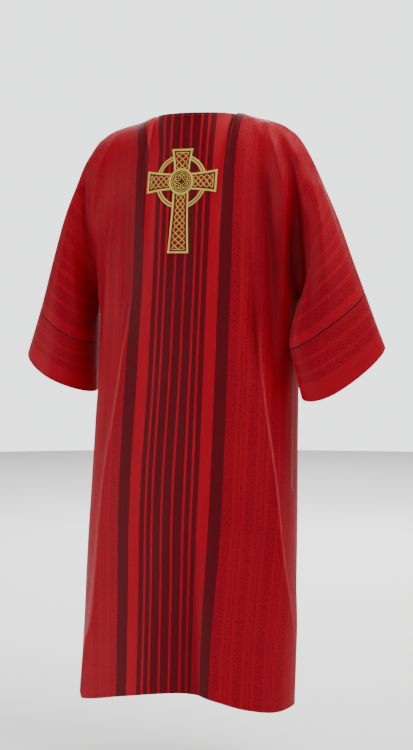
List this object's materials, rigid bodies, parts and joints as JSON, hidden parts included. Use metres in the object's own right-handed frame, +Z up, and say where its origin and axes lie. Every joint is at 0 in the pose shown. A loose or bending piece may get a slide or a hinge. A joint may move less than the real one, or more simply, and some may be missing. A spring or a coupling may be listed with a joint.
{
  "type": "dalmatic",
  "caption": "Wide-sleeved striped red vestment in its worn form, with a ringed gold cross on the back, that a deacon puts on over the head.",
  "frame": {"origin": "midway between the two high points of the shoulders, where the garment rests on its wearer", "axes": "+Z up, the wearer faces -Y and the back of the garment faces +Y, +X towards the wearer's left"},
  "size_m": [0.857, 0.3381, 1.3011],
  "materials": {
    "striped_cloth": "woven, soft sheen",
    "gold_thread": "embroidered, satin"
  },
  "bodies": {
    "root": {"back": "striped_cloth", "front": "striped_cloth", "sleeve_band_left": "striped_cloth", "sleeve_band_right": "striped_cloth", "cross": "gold_thread"}
  },
  "joints": []
}
